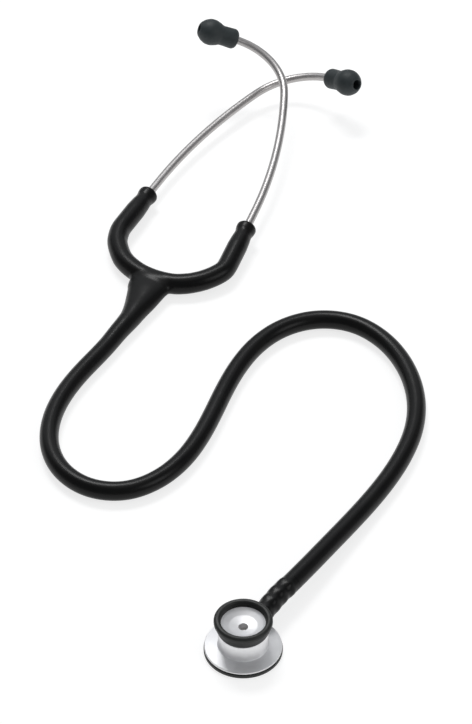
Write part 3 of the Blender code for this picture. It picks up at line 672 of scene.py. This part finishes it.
def make_grip():
    """Rings of soft bumps moulded round the end of the hose."""
    line = grip_line()
    length = float(distances(line)[-1])
    path = relaxed(part_of(line, 0.0, length, FINE_STEP), rounds=30)
    sides = 128
    place = distances(path)[:, None]
    angle = 2 * np.pi * np.arange(sides)[None, :] / sides
    pitch = length / GRIP_RINGS
    wave = 0.5 - 0.5 * np.cos(2 * np.pi * place / pitch)
    row = 0.5 + 0.5 * np.cos(GRIP_BUMPS * angle)
    ease = np.clip((length - place) / GRIP_FADE, 0.0, 1.0)
    ease = ease * ease * (3 - 2 * ease)
    radius = HOSE_RADIUS + (GRIP_FILM + GRIP_RING_HEIGHT * wave + GRIP_BUMP_HEIGHT * wave * row) * ease
    end = np.clip(place / GRIP_ROUNDING, 0.0, 1.0)
    radius = radius - GRIP_ROUNDING * (1 - np.sqrt(1 - (1 - end) ** 2))
    grip = sweep("hose_grip_skin", path, radius, sides)
    finish_piece(grip, VINYL, ROOT, "black_vinyl", "hose_grip")


# ---------------------------------------------------------------- chestpiece


def make_chestpiece():
    """Body, rims and diaphragm, as profiles of (radius, height, rounding) about the upright axis."""
    sides = 160
    body = [
        (0.0020, 0.0030),
        (0.0020, 0.0143, 0.0002),
        (0.0024, 0.01435, 0.0002),
        (0.0060, 0.0151, 0.0040),
        (0.0085, 0.0160, 0.0030),
        (0.0093, 0.0164, 0.0002),
        (0.0095, 0.0165, 0.0001),
        (0.0103, 0.0165, 0.0002),
        (0.0103, 0.0153, 0.0002),
        (0.0100, 0.0123, 0.0002),
        (0.0106, 0.0123, 0.0003),
        (0.0106, 0.0043, 0.0006),
        (0.0163, 0.0032, 0.0002),
        (0.0165, 0.0030, 0.0002),
        (0.0165, 0.0025, 0.0001),
        (0.0156, 0.0025, 0.0001),
        (0.0156, 0.0016, 0.0001),
        (0.0142, 0.0016, 0.0002),
        (0.0070, 0.0025),
        (0.0020, 0.0027),
    ]
    turned = revolve("chestpiece_turned", body, sides)
    finish_piece(turned, TURNED_STEEL, CHEST, "turned_steel", "chestpiece_body")
    rim = [
        (0.0159, 0.0020, 0.0001),
        (0.0161, 0.0022, 0.0001),
        (0.01655, 0.0022, 0.0003),
        (0.01675, 0.0018, 0.0004),
        (0.01675, 0.0005, 0.0005),
        (0.0162, 0.0, 0.0003),
        (0.0146, 0.0, 0.0001),
        (0.0144, 0.0006, 0.0001),
        (0.0159, 0.0006),
    ]
    lower_rim = revolve("diaphragm_rim_skin", rim, sides)
    finish_piece(lower_rim, RIM_RUBBER, CHEST, "rim_rubber", "diaphragm_rim")
    disc = [
        (0.0, 0.0009),
        (0.0138, 0.0009, 0.0003),
        (0.0142, 0.0013, 0.0003),
        (0.0155, 0.0013, 0.0001),
        (0.0155, 0.0009, 0.0001),
        (0.0142, 0.0009, 0.0002),
        (0.0140, 0.0005, 0.0002),
        (0.0, 0.0005),
    ]
    diaphragm = revolve("diaphragm_disc", disc, sides=128)
    finish_piece(diaphragm, RESIN, CHEST, "diaphragm_resin", "diaphragm")
    bell = [
        (0.0094, 0.0168, 0.0001),
        (0.0095, 0.0176, 0.0004),
        (0.0098, 0.0186, 0.0007),
        (0.0104, 0.0192, 0.0009),
        (0.0115, 0.0192, 0.0012),
        (0.01245, 0.0186, 0.0013),
        (0.01250, 0.0173, 0.0012),
        (0.01225, 0.0167, 0.0008),
        (0.01205, 0.0161, 0.0012),
        (0.01120, 0.0136, 0.0014),
        (0.0108, 0.0127, 0.0003),
        (0.0104, 0.0127, 0.0001),
        (0.0106, 0.0153, 0.0001),
        (0.0106, 0.0168, 0.0001),
    ]
    upper_rim = revolve("bell_rim_skin", bell, sides)
    finish_piece(upper_rim, RIM_RUBBER, CHEST, "rim_rubber", "bell_rim")


def make_stem():
    """The stem's spigot and its collar. The rest of it is inside the grip."""
    place = along(Vector((0.0, 0.0, STEM_HEIGHT)), Vector(STEM_AXIS))
    profile = [
        (0.0, -0.0048),
        (0.00285, -0.0048, 0.0003),
        (0.00285, 0.0117, 0.0001),
        (0.0037, 0.0117, 0.0002),
        (0.0037, 0.0129, 0.0002),
        (0.0024, 0.0129),
        (0.0024, 0.0137),
        (0.0, 0.0137),
    ]
    stem = revolve("stem_turned", profile, 72, place)
    finish_piece(stem, PLATED_BRASS, ROOT, "plated_brass", "stem")


# ---------------------------------------------------------------- ear tubes and tips


def make_ear_tube(side):
    """One polished tube, from inside its sleeve to inside its tip."""
    path = tube_path(side, TUBE_START, TUBE_END)
    path = moved(part_of(path, 0.0, distances(path)[-1], TUBE_STEP), sleeve_matrix(side))
    path = relaxed(path, rounds=80)
    tube = sweep(side + "_tube_polished", path, TUBE_RADIUS, sides=48)
    finish_piece(tube, POLISHED_STEEL, side + "_binaural", "polished_steel", side + "_ear_tube")


def make_ear_tip(side):
    """A soft tip: a ball with a sound hole, a waist, and a skirt that takes the tube."""
    skirt = 0.0026
    quarter = np.radians(np.arange(0.0, 91.0, 10.0))
    profile = [
        (0.00225, 0.0098),
        (0.00225, 0.0196, 0.0002),
        (0.00255, 0.02015, 0.0004),
        (0.0036, 0.01955, 0.0010),
        (0.0052, 0.0178, 0.0030),
        (0.00645, 0.0153, 0.0050),
        (0.00645, 0.0126, 0.0050),
        (0.0056, 0.0100, 0.0040),
        (0.0048, 0.0084, 0.0050),
        (0.0049, 0.0056, 0.0060),
        *[(0.0024 + skirt * math.cos(turn), skirt - skirt * math.sin(turn)) for turn in quarter],
        (0.00215, 0.0002),
        (0.00215, 0.0098),
    ]
    base = Vector(tube_path(side, TUBE_START, TIP_BASE)[-1])
    place = sleeve_matrix(side) @ along(base, tube_direction(side, TUBE_END))
    tip = revolve(side + "_tip_moulded", profile, 96, place)
    finish_piece(tip, TIP_RUBBER, side + "_binaural", "soft_tip", side + "_ear_tip")


# ---------------------------------------------------------------- moulded headset


def u_line():
    """The centre line of the U, in the headset's frame."""
    return smooth_path(U_ROUTE)


def bend_line(side):
    """The centre line of the stretch of arm that flexes, from the yoke outwards."""
    line = u_line()
    if side == "right":
        line = line[::-1]
    return moved(part_of(line, 0.0, BEND_LENGTH, TUBE_STEP)[::-1], headset_matrix())


def make_arm(side):
    """The flexing bend and the straight sleeve of one arm, with the collar that grips the tube."""
    bend = bend_line(side)
    heights = np.arange(TUBE_STEP, SLEEVE_LENGTH + TUBE_STEP / 2, TUBE_STEP)
    sleeve = moved([(0.0, height, 0.0) for height in heights], sleeve_matrix(side))
    body = np.vstack([bend, sleeve])
    total = distances(body)[-1]
    path = part_of(body, 0.0, total, FINE_STEP)
    in_line = path[:10].copy()  # with the yoke's cut end
    path = relaxed(path, rounds=90)
    path[:10] = in_line
    back = total - distances(path)
    radius = relaxed(np.interp(back, *zip(*COLLAR)), rounds=6)
    arm = sweep(side + "_arm_moulded", path, radius, 72, COLLAR_MOUTH)
    nodes = (side + "_arm_bend", side + "_arm_sleeve")
    finish_piece(arm, VINYL, None, "black_vinyl", *nodes)
    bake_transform(arm)


def foot_sections():
    """The foot's sections in the world: their centres, and their half widths and half thicknesses."""
    place = headset_matrix()
    centres = [place @ Vector(station[:3]) for station in FOOT_STATIONS] + [Vector(HOSE_ROUTE[0])]
    sizes = [station[3:] for station in FOOT_STATIONS] + [(HOSE_RADIUS, HOSE_RADIUS)]
    run_out = (Vector(HOSE_ROUTE[1]) - Vector(HOSE_ROUTE[0])).normalized()
    centres.append(centres[-1] + run_out * FOOT_RUN_OUT)
    sizes.append((HOSE_RADIUS, HOSE_RADIUS))
    return centres, sizes


def tube_field(points, path, radius):
    """Distance from points to a round tube's surface, below zero inside."""
    nearest = np.full(len(points), 1e9)
    for a, b in zip(path, path[1:]):
        run = b - a
        t = np.clip(((points - a) @ run) / (run @ run), 0.0, 1.0)
        nearest = np.minimum(nearest, np.linalg.norm(points - a - t[:, None] * run, axis=1))
    return nearest - radius


def foot_field(points, centres, sizes):
    """About the distance to the foot's oval skin, from the nearest place on its centre line."""
    path = np.array(centres)
    widths = np.array(sizes)
    runs = tangents(path)
    nearest = np.full(len(points), 1e9)
    field = np.zeros(len(points))
    for i, (a, b) in enumerate(zip(path, path[1:])):
        run = b - a
        t = np.clip(((points - a) @ run) / (run @ run), 0.0, 1.0)[:, None]
        away = points - a - t * run
        far = np.linalg.norm(away, axis=1)
        across = np.cross(runs[i] + t * (runs[i + 1] - runs[i]), UP)
        across = across / np.linalg.norm(across, axis=1)[:, None]
        size = widths[i] + t * (widths[i + 1] - widths[i])
        sideways = (away * across).sum(axis=1)
        upright = np.sqrt(np.maximum(far**2 - sideways**2, 0.0))
        scaled = np.sqrt((sideways / size[:, 0]) ** 2 + (upright / size[:, 1]) ** 2)
        value = far * (1 - 1 / np.maximum(scaled, 1e-6))
        value = np.where(far < 1e-6, -size[:, 1], value)
        closer = far < nearest
        field = np.where(closer, value, field)
        nearest = np.where(closer, far, nearest)
    return field


def oval_radii(sizes, sides):
    """The radius of each oval section at evenly turned sides."""
    angle = 2 * np.pi * np.arange(sides) / sides
    wide, thick = sizes[:, :1], sizes[:, 1:]
    return wide * thick / np.hypot(thick * np.cos(angle), wide * np.sin(angle))


def smooth_lower(first, second, reach):
    """The lower of two fields, rounded where they meet."""
    share = np.clip(0.5 + 0.5 * (second - first) / reach, 0.0, 1.0)
    return second + (first - second) * share - reach * share * (1 - share)


def slope(field, points):
    """The gradient of a field at each point."""
    step = 0.00004
    columns = []
    for shift in np.eye(3) * step:
        columns.append((field(points + shift) - field(points - shift)) / (2 * step))
    return np.stack(columns, axis=1)


def read_points(mesh):
    """A mesh's vertices, one row each."""
    points = np.zeros(len(mesh.vertices) * 3)
    mesh.vertices.foreach_get("co", points)
    return points.reshape(-1, 3)


def remeshed(name, seeds):
    """The union of closed shapes as one evenly meshed object. The shapes themselves are removed."""
    merged = bmesh.new()
    for seed in seeds:
        merged.from_mesh(seed.data)
        bpy.data.objects.remove(seed)
    mesh = bpy.data.meshes.new(name)
    merged.to_mesh(mesh)
    merged.free()
    piece = add_to_scene(name, mesh)
    remesh = piece.modifiers.new("remesh", "REMESH")
    remesh.mode = "VOXEL"
    remesh.voxel_size = YOKE_VOXEL
    depsgraph = bpy.context.evaluated_depsgraph_get()
    made = bpy.data.meshes.new_from_object(piece.evaluated_get(depsgraph))
    piece.modifiers.clear()
    piece.data = made
    piece.data.name = name
    return piece


def draw_onto(mesh, field):
    """Moves vertices onto the surface where a field is zero. The first rounds also space them evenly."""
    rounds = 7
    spacing_rounds = 5
    longest_pull = 0.0012
    least_steepness = 0.2
    share_of_drift = 0.6
    points = read_points(mesh)
    edges = np.zeros(len(mesh.edges) * 2, int)
    mesh.edges.foreach_get("vertices", edges)
    edges = edges.reshape(-1, 2)
    degree = np.bincount(edges.ravel(), minlength=len(points))[:, None]
    for round_number in range(rounds):
        value = field(points)
        gradient = slope(field, points)
        steepness = np.maximum((gradient**2).sum(axis=1), least_steepness)
        pull = np.clip(value / steepness, -longest_pull, longest_pull)
        points = points - gradient * pull[:, None]
        if round_number < spacing_rounds:
            neighbours = np.zeros_like(points)
            np.add.at(neighbours, edges[:, 0], points[edges[:, 1]])
            np.add.at(neighbours, edges[:, 1], points[edges[:, 0]])
            drift = neighbours / degree - points
            normal = gradient / np.linalg.norm(gradient, axis=1)[:, None]
            drift -= normal * (drift * normal).sum(axis=1)[:, None]
            points = points + share_of_drift * drift
    mesh.vertices.foreach_set("co", points.ravel())
    mesh.update()


def make_yoke():
    """The U and its foot as one smooth skin: a remeshed union, drawn onto its exact surface."""
    place = headset_matrix()
    line = u_line()
    total = distances(line)[-1]
    overlap = 0.003
    middle = part_of(line, BEND_LENGTH - overlap, total - BEND_LENGTH + overlap, 0.0010)
    middle = moved(middle, place)
    centres, sizes = foot_sections()
    centres = smooth_path(centres[1:], steps=6)
    sizes = smooth_path([(*size, 0.0) for size in sizes[1:]], steps=6)[:, :2]
    sizes[:, 0] = np.maximum(sizes[:, 0], HOSE_RADIUS)

    def field(points):
        tube = tube_field(points, middle, ARM_RADIUS)
        foot = foot_field(points, centres, sizes)
        return smooth_lower(tube, foot, YOKE_FOLD)

    seed_tube = sweep("seed_tube", middle, ARM_RADIUS, sides=48)
    seed_foot = sweep("seed_foot", centres, oval_radii(sizes, 64), 64)
    piece = remeshed("yoke_moulded", [seed_tube, seed_foot])
    draw_onto(piece.data, field)
    cut_yoke(piece, place, line, total)
    gradient = slope(field, read_points(piece.data))
    normals = gradient / np.linalg.norm(gradient, axis=1)[:, None]
    piece.data.shade_smooth()
    piece.data.normals_split_custom_set_from_vertices([tuple(normal) for normal in normals])
    finish_piece(piece, VINYL, ROOT, "black_vinyl", "yoke")


def cut_yoke(piece, place, line, total):
    """Trims the skin where each arm's bend begins and where the hose begins."""
    run_in = Vector(HOSE_ROUTE[0]) - Vector(HOSE_ROUTE[1])
    planes = [(Vector(HOSE_ROUTE[0]), -run_in.normalized())]
    for distance, sign in ((BEND_LENGTH, -1.0), (total - BEND_LENGTH, 1.0)):
        near = part_of(line, distance - FINE_STEP, distance + FINE_STEP, FINE_STEP)
        before, cut, after = moved(near, place)
        planes.append((Vector(cut), Vector((after - before) * sign).normalized()))
    reach = 0.0136  # takes in all of the skin past a cut, and none of it by the other cuts
    shape = bmesh.new()
    shape.from_mesh(piece.data)
    for point, outward in planes:
        near = [face for face in shape.faces if (face.calc_center_median() - point).length < reach]
        parts = dict.fromkeys(part for face in near for part in (face, *face.verts, *face.edges))
        bmesh.ops.bisect_plane(shape, geom=list(parts), plane_co=point, plane_no=outward, clear_outer=True)
    shape.to_mesh(piece.data)
    shape.free()


def make_leaf_spring(side):
    """Half of the spring strip inside the moulding, on its own arm's side."""
    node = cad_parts["leaf_spring"]
    place = headset_matrix()
    far_side = place.to_3x3() @ Vector((-MIRROR[side], 0.0, 0.0))
    shape = bmesh.new()
    shape.from_mesh(node.data)
    shape.transform(node.matrix_world)
    everything = [*shape.verts, *shape.edges, *shape.faces]
    cut = bmesh.ops.bisect_plane(
        shape, geom=everything, plane_co=place.translation, plane_no=far_side, clear_outer=True
    )
    edges = [part for part in cut["geom_cut"] if isinstance(part, bmesh.types.BMEdge)]
    bmesh.ops.holes_fill(shape, edges=edges)
    mesh = bpy.data.meshes.new(side + "_leaf_strip")
    shape.to_mesh(mesh)
    shape.free()
    strip = add_to_scene(side + "_leaf_strip", mesh)
    finish_piece(strip, SPRING_STEEL, None, "spring_steel", "leaf_spring")
    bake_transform(strip)


# ---------------------------------------------------------------- hidden pieces


def dress_hidden_nodes():
    """Pieces inside the others keep their CAD shape and get their metal or rubber."""
    hidden = {
        "stem_seal": SEAL_RUBBER,
        "stem_retaining_ring": SPRING_STEEL,
        "detent_ball": SPRING_STEEL,
        "detent_spring": SPRING_STEEL,
        "left_spring_clip": SPRING_STEEL,
        "right_spring_clip": SPRING_STEEL,
    }
    for name, material in hidden.items():
        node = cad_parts[name]
        for holder in node.material_slots:
            holder.material = material
        if not node.material_slots:
            node.data.materials.append(material)


# ---------------------------------------------------------------- floor, light and camera


FLOOR_REACH = 3.0
FLOOR_DROP = 0.0001
LIGHT_TARGET = (0.0, 0.18, 0.0)
CAMERA_TARGET = Vector((-0.00304, 0.18208, 0.0))
CAMERA_DISTANCE = 1.75
CAMERA_ELEVATION = math.radians(42.0)
CAMERA_LENS = 190.0


def make_floor():
    """A plain white floor that glows a little, so that only soft shadows are left on it."""
    size = FLOOR_REACH
    mesh = bpy.data.meshes.new("floor")
    corners = [(-size, -size, 0), (size, -size, 0), (size, size, 0), (-size, size, 0)]
    mesh.from_pydata(corners, [], [(0, 1, 2, 3)])
    floor = add_to_scene("floor", mesh)
    floor.location.z = -FLOOR_DROP
    material = start_material("floor_white", (0.36, 0.36, 0.36), 0.7, Specular_IOR_Level=0.1)
    shader = material.node_tree.nodes["Principled BSDF"]
    shader.inputs["Emission Color"].default_value = (1.0, 1.0, 1.0, 1.0)
    shader.inputs["Emission Strength"].default_value = 0.76
    floor.data.materials.append(material)


def area_light(name, place, size, energy, colour=(1.0, 1.0, 1.0)):
    """A rectangular light that faces the middle of the object, its power in watts."""
    light = bpy.data.lights.new(name, "AREA")
    light.shape = "RECTANGLE"
    light.size, light.size_y = size
    light.energy = energy
    light.color = colour
    holder = bpy.data.objects.new(name, light)
    holder.location = place
    holder.rotation_euler = (Vector(LIGHT_TARGET) - Vector(place)).to_track_quat("-Z", "Y").to_euler()
    bpy.context.scene.collection.objects.link(holder)


def make_light():
    """Soft studio light: a broad panel and a small key behind the object, a top light and a fill."""
    scene = bpy.context.scene
    scene.world = bpy.data.worlds.new("studio")
    scene.world.use_nodes = True
    background = scene.world.node_tree.nodes["Background"]
    background.inputs["Color"].default_value = (0.95, 0.97, 1.0, 1.0)
    background.inputs["Strength"].default_value = 0.24
    area_light("panel", (-0.2, 1.35, 1.1), (2.8, 1.6), 7.0, (0.94, 0.97, 1.0))
    area_light("key", (-0.25, 1.15, 1.7), (0.75, 0.42), 15.0)
    area_light("top", (0.1, 0.3, 1.9), (1.2, 1.2), 2.0)
    area_light("fill", (1.2, -0.5, 0.9), (0.8, 0.8), 4.0)
    scene.view_settings.view_transform = "Standard"
    scene.view_settings.look = "None"


def make_camera():
    """The view from the front and above, with a long lens."""
    camera = bpy.data.cameras.new("camera")
    camera.lens = CAMERA_LENS
    camera.sensor_width = 36.0
    camera.clip_start = 0.05
    camera.clip_end = 20.0
    holder = bpy.data.objects.new("camera", camera)
    back = Vector((0.0, -math.cos(CAMERA_ELEVATION), math.sin(CAMERA_ELEVATION)))
    holder.location = CAMERA_TARGET + back * CAMERA_DISTANCE
    holder.rotation_euler = (math.pi / 2 - CAMERA_ELEVATION, 0.0, 0.0)
    bpy.context.scene.collection.objects.link(holder)
    bpy.context.scene.camera = holder


make_camera()
make_light()
make_floor()
make_hose()
make_grip()
make_chestpiece()
make_stem()
make_yoke()
for side_name in SIDES:
    make_arm(side_name)
    make_leaf_spring(side_name)
    make_ear_tube(side_name)
    make_ear_tip(side_name)
dress_hidden_nodes()
